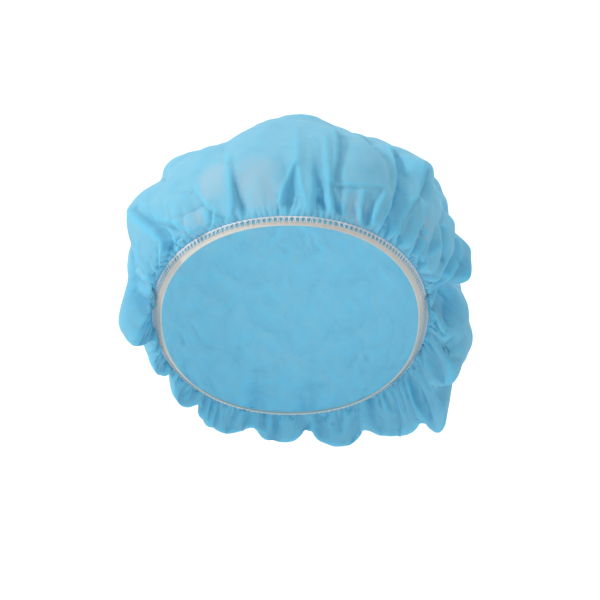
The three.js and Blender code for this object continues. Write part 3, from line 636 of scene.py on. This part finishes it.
def gridNormals(grid):  # outward normals of rows x columns of points; columns close up, rows don't
    round_ = np.roll(grid, -1, 1) - np.roll(grid, 1, 1)
    up = np.gradient(grid, axis=0)
    n = np.cross(round_, up)
    return n / np.maximum(np.linalg.norm(n, axis=-1, keepdims=True), 1e-9)


# The crease measure is stored on the cloth, and its colour uses it for a painted highlight on ridges and
# painted shade in valleys
def creases(grid):  # how sharply each point bends: above 0 on a ridge, below 0 in a valley
    normals = gridNormals(grid)
    total = np.zeros(grid.shape[:2])
    for step in (2, 5):
        ahead, behind = np.roll(grid, -step, 1) - grid, np.roll(grid, step, 1) - grid
        gap = 0.5 * (np.linalg.norm(ahead, axis=-1) + np.linalg.norm(behind, axis=-1)) + 0.15
        total -= ((ahead + behind) * normals).sum(-1) / gap ** 2
    up, down = np.zeros(grid.shape), np.zeros(grid.shape)
    up[1:-1], down[1:-1] = grid[2:] - grid[1:-1], grid[:-2] - grid[1:-1]
    gap = 0.5 * (np.linalg.norm(up, axis=-1) + np.linalg.norm(down, axis=-1)) + 0.15
    total -= 2 * ((up + down) * normals).sum(-1) / gap ** 2
    return np.tanh(total * 1.5)  # 1/mm


def crownGrid():
    n = crownMesh["columns"]
    angle = np.arange(n) * 2 * math.pi / n
    dense, lengths = clothProfiles(angle)
    whole = lengths[-1]
    heights, keeps = rowHeights(whole)
    longest = crownMesh["zones"][-1][0]
    shares = np.empty((len(heights), n))
    for k, h in enumerate(heights):
        plain = h / whole
        stretched = h / (longest * 1.03)
        blend = np.clip((h - crownMesh["evenUpTo"]) / crownMesh["evenFade"], 0, 1)
        shares[k] = plain * (1 - blend) + stretched * blend
    outs, ups = np.empty(shares.shape), np.empty(shares.shape)
    for c in range(n):
        want = shares[:, c] * whole[c]
        outs[:, c] = np.interp(want, lengths[:, c], dense[:, c, 0])
        ups[:, c] = np.interp(want, lengths[:, c], dense[:, c, 1])
    a = np.broadcast_to(angle, shares.shape)
    base = place(a, outs, ups)
    height = shares * whole
    r = openingRadius(angle)
    centreOut = cap["foldCentreOut"] * np.minimum(r, outs)
    towards = place(a, outs - centreOut, ups - cap["foldCentreUp"] * cap["crownHeight"])
    towards /= np.linalg.norm(towards, axis=-1, keepdims=True)
    free = np.clip((height - cap["hemLength"]) / crownMesh["foldsGrowOver"], 0, 1)
    free = free * free * (3 - 2 * free)
    broad = [f for f in folds if max(f["width"]) > crownMesh["fineFold"]]
    fine = [f for f in folds if max(f["width"]) <= crownMesh["fineFold"]]
    dips = foldDips(np.degrees(angle), shares, outs, whole, broad)
    grid = base - ((dips + cap["drawnIn"]) * free)[..., None] * towards
    front = np.exp(-(((np.degrees(a) + 180) % 360 - 180) / crumpleLook["frontSpan"]) ** 4)
    front = front * np.clip((crumpleLook["frontUpTo"] - shares) / crumpleLook["frontFade"], 0, 1)
    top = np.clip((1 - shares) / crumpleLook["topFade"], 0, 1)
    calm = (1 - crumpleLook["lessAtFront"] * front) * free * top
    grid = grid - pleatDips(angle, height, pleats[2:])[..., None] * gridNormals(grid)
    grid = grid + crumple(base, calm)[..., None] * gridNormals(grid)
    print("folds laid")
    apex = place(np.zeros(1), np.zeros(1), np.full(1, float(cap["crownHeight"])))[0]
    grid, apex = settle(grid, height, apex)
    inwards = gridNormals(grid) + towards
    inwards /= np.linalg.norm(inwards, axis=-1, keepdims=True)
    grid = grid - (foldDips(np.degrees(angle), shares, outs, whole, fine) * free)[..., None] * inwards
    grid = grid - pleatDips(angle, height, pleats[:2])[..., None] * gridNormals(grid)
    # steep, crease and pale steer the cloth's colour: painted shade on fold sides, a painted highlight on
    # ridges, painted shade in valleys, and paler panels that are partly a painted highlight
    steep = 1 - (gridNormals(grid) * gridNormals(base)).sum(-1)
    pale = np.zeros(height.shape)
    for centre, up, halfAngle, halfHeight in palePanels:
        turn = (np.degrees(a) - centre + 180) % 360 - 180
        pale = np.maximum(pale, np.exp(-(turn / halfAngle) ** 4 - ((height - up) / halfHeight) ** 4))
    return grid, keeps, shares, {"crease": creases(grid), "steep": steep, "pale": pale}, apex


def makeCrown():
    grid, keeps, shares, marks, apex = crownGrid()
    rows, n = grid.shape[:2]
    vertices, rings, uvs = [], [], []
    marked = {name: [] for name in marks}
    for r in range(rows):
        step = keeps[r]
        picked = np.arange(0, n, step)
        rings.append(len(vertices) + np.arange(len(picked)))
        angle = picked * 2 * math.pi / n
        radius = 0.5 * (1 - shares[r, picked])
        uvs.extend(zip(0.5 + radius * np.sin(angle), 0.5 - radius * np.cos(angle)))
        for name in marks:
            marked[name].extend(marks[name][r, picked])
        vertices.extend(grid[r, picked])
    faces = []
    for r in range(rows - 1):
        low, high = rings[r], rings[r + 1]
        if len(low) == len(high):
            for k in range(len(low)):
                m = (k + 1) % len(low)
                faces.append((low[k], low[m], high[m], high[k]))
        else:
            for k in range(len(high)):
                a, b, c = low[2 * k], low[2 * k + 1], low[(2 * k + 2) % len(low)]
                d, e = high[k], high[(k + 1) % len(high)]
                faces += [(a, b, d), (b, e, d), (b, c, e)]
    vertices.append(apex)
    uvs.append((0.5, 0.5))
    for name in marks:
        marked[name].append(0)
    last = rings[-1]
    for k in range(len(last)):
        faces.append((last[k], last[(k + 1) % len(last)], len(vertices) - 1))
    crown = meshFrom("crownCloth", np.array(vertices) * mm, [tuple(int(i) for i in f) for f in faces])
    layer = crown.data.uv_layers.new(name="flatCut")
    loops = np.array([loop.vertex_index for loop in crown.data.loops])
    layer.uv.foreach_set("vector", np.array(uvs)[loops].ravel())
    for name, values in marked.items():
        attribute = crown.data.attributes.new(name, "FLOAT", "POINT")
        attribute.data.foreach_set("value", np.array(values, np.float32))
    print("crown:", len(crown.data.polygons), "faces")
    return crown, grid


crown, crownCloth = makeCrown()

# The elastic band: knitted, flat, with fine ribs along it

elasticLook = {
    "columns": 720,
    "faceSteps": 18,
    "rounding": 0.45,  # mm, at its edges
    "ribs": 6,
    "ribDepth": 0.12,
    "ripple": 0.16,
    "rippleCount": 109,
    "girth": 583,  # mm, as worn
    "shade": "#d9d3c9",
    "bright": "#f4f1ea",
}


def makeElastic():
    n = elasticLook["columns"]
    angle = np.arange(n) * 2 * math.pi / n
    half, width = cap["elasticThickness"] / 2, cap["elasticWidth"]
    faceSteps = elasticLook["faceSteps"]
    section = []
    for k in range(faceSteps + 1):
        along = width * k / faceSteps
        inside = min(along, width - along) / elasticLook["rounding"]
        round_ = min(1.0, inside) ** 0.5 if 0 < along < width else 0.0
        rib = elasticLook["ribDepth"] * abs(math.sin(math.pi * elasticLook["ribs"] * along / width))
        section.append((along, half * (0.35 + 0.65 * round_) - elasticLook["ribDepth"] + rib))
    section += [(along, -off) for along, off in reversed(section)]
    rings = []
    for along, off in section:
        ripple = elasticLook["ripple"] * np.sin(elasticLook["rippleCount"] * angle + 1.2 * np.sin(5 * angle))
        out, up = bandPoint(angle, along, off + ripple * (along / width) * 0.6)
        rings.append(place(angle, out, up))
    vertices = np.concatenate(rings) * mm
    faces = []
    for r in range(len(rings)):
        for k in range(n):
            m = (k + 1) % n
            low, high = r * n, ((r + 1) % len(rings)) * n
            faces.append((low + k, low + m, high + m, high + k))
    elastic = meshFrom("elasticBand", vertices, faces)
    layer = elastic.data.uv_layers.new(name="lengthwise")
    uvs = []
    for r in range(len(rings)):
        for k in range(n):
            left, right = k / n * elasticLook["girth"], (k + 1) / n * elasticLook["girth"]
            uvs += [(left, r), (right, r), (right, r + 1), (left, r + 1)]
    layer.uv.foreach_set("vector", np.array(uvs).ravel())
    print("elastic:", len(elastic.data.polygons), "faces")
    return elastic


elastic = makeElastic()

# Overlock stitches: a bar of thread over the hem every 2.7 mm and a chain along the bars' tops

stitchLook = {
    "count": 214,
    "threadRadius": 0.24,
    "chainLength": 3.1,
    "chainWidth": 0.6,
    "onElastic": 0.5,  # how far a bar reaches down over the elastic
    "upHem": 2.4,
    "raised": 0.25,  # how far a bar's middle stands off the hem
    "footSpread": 0.55,  # the two strands of a bar, to each side
    "topSpread": 0.1,
    "arch": 0.4,
    "sway": 0.14,
    "seed": 4,
    "shade": "#e6eaf0",
    "bright": "#fbfcfd",
}


def stitchPoints():  # one vertex for each stitch, with its directions and length as attributes
    n = crownCloth.shape[1]
    angle = np.arange(n) * 2 * math.pi / n
    normals = gridNormals(crownCloth)
    picked = np.round(np.arange(stitchLook["count"]) * n / stitchLook["count"]).astype(int) % n
    row = int(round(stitchLook["upHem"] / crownMesh["zones"][0][1]))
    lift = stitchLook["threadRadius"] * 1.1
    low = place(angle, *bandPoint(angle, elasticShown(angle) - stitchLook["onElastic"],
                                  cap["elasticThickness"] / 2 + lift))[picked]
    high = crownCloth[row, picked] + lift * normals[row, picked]
    across = high - low
    length = np.linalg.norm(across, axis=1)
    across /= length[:, None]
    out = normals[1, picked]
    out -= (out * across).sum(1)[:, None] * across
    out /= np.linalg.norm(out, axis=1)[:, None]
    middle = (low + high) / 2 + stitchLook["raised"] * out
    points = meshFrom("stitchPoints", middle * mm, [])
    for name, kind, field, values in (("across", "FLOAT_VECTOR", "vector", across),
                                      ("outward", "FLOAT_VECTOR", "vector", out),
                                      ("reach", "FLOAT", "value", length * mm)):
        attribute = points.data.attributes.new(name, kind, "POINT")
        attribute.data.foreach_set(field, values.astype(np.float32).ravel())
    return points


def stitchTree(material):
    tree = bpy.data.node_groups.new("overlockStitches", "GeometryNodeTree")
    tree.interface.new_socket("Geometry", in_out="INPUT", socket_type="NodeSocketGeometry")
    sizes = {}
    for name, value in (("Thread Radius", stitchLook["threadRadius"] * mm),
                        ("Chain Length", stitchLook["chainLength"] * mm),
                        ("Chain Width", stitchLook["chainWidth"] * mm), ("Sway", stitchLook["sway"])):
        size = tree.interface.new_socket(name, in_out="INPUT", socket_type="NodeSocketFloat")
        sizes[size.identifier] = value
    seed = tree.interface.new_socket("Seed", in_out="INPUT", socket_type="NodeSocketInt")
    sizes[seed.identifier] = stitchLook["seed"]
    tree.interface.new_socket("Geometry", in_out="OUTPUT", socket_type="NodeSocketGeometry")
    given = addNode(tree, "NodeGroupInput").outputs
    across, outward, reach = (
        addNode(tree, "GeometryNodeInputNamedAttribute", {"data_type": kind}, {"Name": name}).outputs[0]
        for name, kind in (("across", "FLOAT_VECTOR"), ("outward", "FLOAT_VECTOR"), ("reach", "FLOAT")))
    thread = addNode(tree, "GeometryNodeCurvePrimitiveCircle", {}, {
        "Resolution": 6, "Radius": given["Thread Radius"]}).outputs[0]
    # a bar is two strands that meet at its top, arched a little over the hem's edge
    bar = addNode(tree, "GeometryNodeJoinGeometry")
    for side in (-mm, mm):
        foot, top = side * stitchLook["footSpread"], side * stitchLook["topSpread"]
        strand = addNode(tree, "GeometryNodeCurveQuadraticBezier", {}, {
            "Resolution": 4, "Start": (0, foot, -0.5), "Middle": (stitchLook["arch"] * mm, foot, 0),
            "End": (0, top, 0.5)})
        tree.links.new(strand.outputs[0], bar.inputs[0])
    upright = addNode(tree, "FunctionNodeAlignRotationToVector", {"axis": "Z"}, {"Vector": across}).outputs[0]
    facing = addNode(tree, "FunctionNodeAlignRotationToVector", {"axis": "X", "pivot_axis": "Z"}, {
        "Rotation": upright, "Vector": outward}).outputs[0]
    swing = addNode(tree, "FunctionNodeRandomValue", {"data_type": "FLOAT"}, {
        2: -1.0, 3: 1.0, "Seed": given["Seed"]}).outputs[1]
    lean = addNode(tree, "ShaderNodeMath", {"operation": "MULTIPLY"}, {0: swing, 1: given["Sway"]}).outputs[0]
    leant = addNode(tree, "FunctionNodeAxisAngleToRotation", {}, {
        "Axis": (1, 0, 0), "Angle": lean}).outputs[0]
    turned = addNode(tree, "FunctionNodeRotateRotation", {"rotation_space": "LOCAL"}, {
        "Rotation": facing, "Rotate By": leant}).outputs[0]
    stretch = addNode(tree, "ShaderNodeCombineXYZ", {}, {"X": 1.0, "Y": 1.0, "Z": reach}).outputs[0]
    barCurves = addNode(tree, "GeometryNodeInstanceOnPoints", {}, {
        "Points": given["Geometry"], "Instance": bar.outputs[0], "Rotation": turned,
        "Scale": stretch}).outputs[0]
    # a chain loop is a flat ring of thread that lies along the hem
    ring = addNode(tree, "GeometryNodeCurvePrimitiveCircle", {}, {
        "Resolution": 14, "Radius": 0.5}).outputs[0]
    loopSize = addNode(tree, "ShaderNodeCombineXYZ", {}, {
        "X": given["Chain Width"], "Y": given["Chain Length"], "Z": 1.0}).outputs[0]
    ahead = addNode(tree, "ShaderNodeVectorMath", {"operation": "CROSS_PRODUCT"}, {
        0: outward, 1: across}).outputs[0]
    flat = addNode(tree, "FunctionNodeAlignRotationToVector", {"axis": "Z"}, {"Vector": outward}).outputs[0]
    along = addNode(tree, "FunctionNodeAlignRotationToVector", {"axis": "Y", "pivot_axis": "Z"}, {
        "Rotation": flat, "Vector": ahead}).outputs[0]
    half = addNode(tree, "ShaderNodeMath", {"operation": "MULTIPLY"}, {0: reach, 1: 0.5}).outputs[0]
    upwards = addNode(tree, "ShaderNodeVectorMath", {"operation": "SCALE"}, {
        0: across, "Scale": half}).outputs[0]
    tops = addNode(tree, "GeometryNodeSetPosition", {}, {
        "Geometry": given["Geometry"], "Offset": upwards}).outputs[0]
    chainCurves = addNode(tree, "GeometryNodeInstanceOnPoints", {}, {
        "Points": tops, "Instance": ring, "Rotation": along, "Scale": loopSize}).outputs[0]
    both = addNode(tree, "GeometryNodeJoinGeometry")
    for curves in (barCurves, chainCurves):
        tree.links.new(curves, both.inputs[0])
    real = addNode(tree, "GeometryNodeRealizeInstances", {}, {"Geometry": both.outputs[0]}).outputs[0]
    threads = addNode(tree, "GeometryNodeCurveToMesh", {}, {
        "Curve": real, "Profile Curve": thread, "Fill Caps": True}).outputs[0]
    whole = addNode(tree, "GeometryNodeRealizeInstances", {}, {"Geometry": threads}).outputs[0]
    finished = addNode(tree, "GeometryNodeSetMaterial", {}, {
        "Geometry": whole, "Material": material}).outputs[0]
    addNode(tree, "NodeGroupOutput", {}, {"Geometry": finished})
    return tree, sizes


def makeStitches():
    points = stitchPoints()
    thread = sewingThread()
    tree, sizes = stitchTree(thread)
    modifier = points.modifiers.new("stitches", "NODES")
    modifier.node_group = tree
    for identifier, value in sizes.items():
        modifier[identifier] = value
    made = points.evaluated_get(bpy.context.evaluated_depsgraph_get())
    data = bpy.data.meshes.new_from_object(made)
    points.modifiers.remove(modifier)
    bpy.data.objects.remove(points)
    stitches = bpy.data.objects.new("overlockThread", data)
    bpy.context.scene.collection.objects.link(stitches)
    data.polygons.foreach_set("use_smooth", [True] * len(data.polygons))
    print("stitches:", len(data.polygons), "faces")
    return stitches


# Materials


def linear(hexColour):  # sRGB hex to the linear colour that Blender's sockets take
    channels = [int(hexColour[i:i + 2], 16) / 255 for i in (1, 3, 5)]
    return [c / 12.92 if c <= 0.04045 else ((c + 0.055) / 1.055) ** 2.4 for c in channels] + [1.0]


def addNode(tree, kind, settings=None, inputs=None):
    node = tree.nodes.new(kind)
    for name, value in (settings or {}).items():
        setattr(node, name, value)
    for name, value in (inputs or {}).items():
        if isinstance(value, bpy.types.NodeSocket):
            tree.links.new(value, node.inputs[name])
        else:
            node.inputs[name].default_value = value
    return node


def newMaterial(name):
    material = bpy.data.materials.new(name)
    material.use_nodes = True
    material.node_tree.nodes.clear()
    return material, material.node_tree


# Spunbond polypropylene, thermally point bonded: matte, slightly translucent and cloudy, because
# the laid fibres are thick in places and thin in others. Its bond points are too fine to show.
nonwovenLook = {
    "thin": "#9fdbee",
    "plain": "#93d8ef",
    "dense": "#87d2ec",
    "singleLitPanel": "#b6dae9",  # a smooth single layer, with less colour in it, and partly a painted highlight: paler where light falls full on the flat panel
    "foldedShade": "#86d1ec",  # where the cloth turns away from the form, more of it lies behind itself; partly painted shade too, darker and bluer on the fold sides, as light bouncing between folds makes it
    # ridge: painted highlight, a brighter cyan on ridges where they catch the light, partly the doubled
    # cloth's deeper colour
    "ridge": "#86e2fd",
    # valley: painted shade, a darker teal in the creases' hollows
    "valley": "#66badb",
    # from where to where on its own scale each of these comes in, and how strong it gets
    "comesIn": {"singleLitPanel": (0.0, 0.5, 0.85), "foldedShade": (0.01, 0.4, 0.65),
                "ridge": (0.06, 0.8, 0.95), "valley": (-0.1, -1.0, 0.65)},
    "cloudSize": 9.0,  # mm
    "fibreSize": 0.9,
    "fibreShare": 0.45,
    "bumpDepth": 0.3,
    "roughness": 0.82,
    "through": 0.33,
}


def nonwoven():
    material, tree = newMaterial("spunbondPolypropylene")
    where = addNode(tree, "ShaderNodeTexCoord").outputs["Object"]
    clouds = addNode(tree, "ShaderNodeTexNoise", {}, {
        "Vector": where, "Scale": 1 / (nonwovenLook["cloudSize"] * mm), "Detail": 4.0, "Roughness": 0.55})
    fibres = addNode(tree, "ShaderNodeTexNoise", {}, {
        "Vector": where, "Scale": 1 / (nonwovenLook["fibreSize"] * mm), "Detail": 3.0, "Roughness": 0.7,
        "Distortion": 1.2})
    both = addNode(tree, "ShaderNodeMix", {"data_type": "FLOAT"}, {
        0: nonwovenLook["fibreShare"], 2: clouds.outputs[0], 3: fibres.outputs[0]}).outputs[0]
    tone = addNode(tree, "ShaderNodeValToRGB", {}, {0: both})
    ramp = tone.color_ramp
    ramp.elements[0].position, ramp.elements[0].color = 0.32, linear(nonwovenLook["thin"])
    ramp.elements[1].position, ramp.elements[1].color = 0.68, linear(nonwovenLook["dense"])
    middle = ramp.elements.new(0.5)
    middle.color = linear(nonwovenLook["plain"])
    crease, pale, steep = (addNode(tree, "ShaderNodeAttribute", {"attribute_name": name}).outputs["Fac"]
                           for name in ("crease", "pale", "steep"))
    cloudyPale = addNode(tree, "ShaderNodeMath", {"operation": "MULTIPLY"}, {0: pale, 1: both}).outputs[0]
    colour = tone.outputs[0]
    # Laid over the cloudy tone in turn: paler smooth panels (partly a painted highlight), fold sides (partly
    # painted shade), ridges (painted highlight) and the creases' hollows (painted shade)
    for name, amount, change in (("singleLitPanel", cloudyPale, "LINEAR"), ("foldedShade", steep, "SMOOTHSTEP"),
                                 ("ridge", crease, "LINEAR"), ("valley", crease, "LINEAR")):
        begin, full, most = nonwovenLook["comesIn"][name]
        share = addNode(tree, "ShaderNodeMapRange", {"interpolation_type": change}, {
            0: amount, 1: begin, 2: full, 3: 0.0, 4: most}).outputs[0]
        colour = addNode(tree, "ShaderNodeMix", {"data_type": "RGBA"}, {
            0: share, 6: colour, 7: linear(nonwovenLook[name])}).outputs[2]
    bump = addNode(tree, "ShaderNodeBump", {}, {
        "Strength": 0.25, "Distance": nonwovenLook["bumpDepth"] * mm, "Height": both}).outputs[0]
    principled = addNode(tree, "ShaderNodeBsdfPrincipled", {}, {
        "Base Color": colour, "Roughness": nonwovenLook["roughness"], "Normal": bump,
        "Specular IOR Level": 0.3, "Sheen Weight": 0.15, "Sheen Roughness": 0.6})
    through = addNode(tree, "ShaderNodeBsdfTranslucent", {}, {"Color": colour, "Normal": bump})
    mix = addNode(tree, "ShaderNodeMixShader", {}, {
        0: nonwovenLook["through"], 1: principled.outputs[0], 2: through.outputs[0]})
    addNode(tree, "ShaderNodeOutputMaterial", {}, {"Surface": mix.outputs[0]})
    return material


# Knitted elastic of latex and polyester: matte ivory, with ribs along it and fine crosswise loops.
def knittedElastic():
    material, tree = newMaterial("knittedElastic")
    where = addNode(tree, "ShaderNodeTexCoord").outputs["UV"]
    loops = addNode(tree, "ShaderNodeTexWave", {"wave_type": "BANDS", "bands_direction": "X"}, {
        "Vector": where, "Scale": 0.55, "Distortion": 1.0, "Detail": 1.0})
    tone = addNode(tree, "ShaderNodeValToRGB", {}, {0: loops.outputs[1]})
    tone.color_ramp.elements[0].color = linear(elasticLook["shade"])
    tone.color_ramp.elements[1].color = linear(elasticLook["bright"])
    bump = addNode(tree, "ShaderNodeBump", {}, {
        "Strength": 0.4, "Distance": 0.3 * mm, "Height": loops.outputs[1]})
    principled = addNode(tree, "ShaderNodeBsdfPrincipled", {}, {
        "Base Color": tone.outputs[0], "Roughness": 0.85, "Normal": bump.outputs[0],
        "Specular IOR Level": 0.25})
    addNode(tree, "ShaderNodeOutputMaterial", {}, {"Surface": principled.outputs[0]})
    return material


# Spun polyester sewing thread: white, matte, with the twist's faint slanting shade.
def sewingThread():
    material, tree = newMaterial("spunPolyesterThread")
    where = addNode(tree, "ShaderNodeTexCoord").outputs["Object"]
    twist = addNode(tree, "ShaderNodeTexNoise", {}, {"Vector": where, "Scale": 1 / (0.5 * mm), "Detail": 1.0})
    tone = addNode(tree, "ShaderNodeValToRGB", {}, {0: twist.outputs[0]})
    tone.color_ramp.elements[0].color = linear(stitchLook["shade"])
    tone.color_ramp.elements[1].color = linear(stitchLook["bright"])
    principled = addNode(tree, "ShaderNodeBsdfPrincipled", {}, {
        "Base Color": tone.outputs[0], "Roughness": 0.75, "Specular IOR Level": 0.3})
    addNode(tree, "ShaderNodeOutputMaterial", {}, {"Surface": principled.outputs[0]})
    return material


crown.data.materials.append(nonwoven())
elastic.data.materials.append(knittedElastic())
stitches = makeStitches()

# Stage: pale floor and backdrop, well below and behind, and soft studio light

stageLook = {
    "floorHeight": -0.32,  # metres
    "backdrop": 2.6,
    "bend": 0.5,
    "halfWidth": 4,
    "front": -3.0,
    "top": 3.0,
    "shade": "#f4f4f3",
    "paper": "#f7f7f7",
    "room": "#f8fafc",
    "roomLight": 0.39,
}


def makeStage():
    low, back = stageLook["floorHeight"], stageLook["backdrop"]
    bend, steps = stageLook["bend"], 16
    profile = [(stageLook["front"], low), (back - bend, low)]
    for k in range(1, steps + 1):
        turn = math.pi / 2 * k / steps
        profile.append((back - bend + bend * math.sin(turn), low + bend - bend * math.cos(turn)))
    profile.append((back, stageLook["top"]))
    vertices = [(side * stageLook["halfWidth"], y, z) for y, z in profile for side in (-1, 1)]
    faces = [(2 * k, 2 * k + 1, 2 * k + 3, 2 * k + 2) for k in range(len(profile) - 1)]
    sweep = meshFrom("paperSweep", vertices, faces)
    material, tree = newMaterial("seamlessPaper")
    where = addNode(tree, "ShaderNodeTexCoord").outputs["Object"]
    grain = addNode(tree, "ShaderNodeTexNoise", {}, {"Vector": where, "Scale": 40.0})
    tone = addNode(tree, "ShaderNodeValToRGB", {}, {0: grain.outputs[0]})
    tone.color_ramp.elements[0].color = linear(stageLook["shade"])
    tone.color_ramp.elements[1].color = linear(stageLook["paper"])
    principled = addNode(tree, "ShaderNodeBsdfPrincipled", {}, {
        "Base Color": tone.outputs[0], "Roughness": 0.9})
    addNode(tree, "ShaderNodeOutputMaterial", {}, {"Surface": principled.outputs[0]})
    sweep.data.materials.append(material)


lights = [
    # name, place, aim, size, watts
    ("keyLeft", (-1.9, -1.2, 1.3), (0, 0, 0.02), 0.45, 35),
    ("fillRight", (1.6, -1.6, 0.5), (0, 0, 0.02), 1.2, 1.8),
    ("topSoft", (0.2, 0.3, 1.8), (0, 0, 0.02), 1.2, 10),
    ("backSoft", (1.6, 1.5, 1.0), (0, 0, 0.02), 0.6, 4),
    ("wallLeft", (-1.6, 1.5, 0.6), (-0.3, 2.6, 0.2), 1.0, 19),
    ("wallRight", (1.6, 1.5, 0.6), (0.3, 2.6, 0.2), 1.0, 19),
]


def addLights():
    for name, spot, target, size, watts in lights:
        data = bpy.data.lights.new(name, "AREA")
        data.shape, data.size, data.energy = "SQUARE", size, watts
        lamp = bpy.data.objects.new(name, data)
        bpy.context.scene.collection.objects.link(lamp)
        lamp.location = spot
        aim = Vector(target) - Vector(spot)
        lamp.rotation_euler = aim.to_track_quat("-Z", "Y").to_euler()
    world = bpy.data.worlds.new("paleRoom")
    bpy.context.scene.world = world
    world.use_nodes = True
    background = world.node_tree.nodes["Background"]
    background.inputs["Color"].default_value = linear(stageLook["room"])
    background.inputs["Strength"].default_value = stageLook["roomLight"]
    bpy.context.scene.view_settings.view_transform = "Standard"


makeStage()
addLights()
print("stage and lights set")

# What rides on what

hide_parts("crown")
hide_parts("elastic_band")
for piece in (crown, elastic, stitches):
    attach(piece, "root")
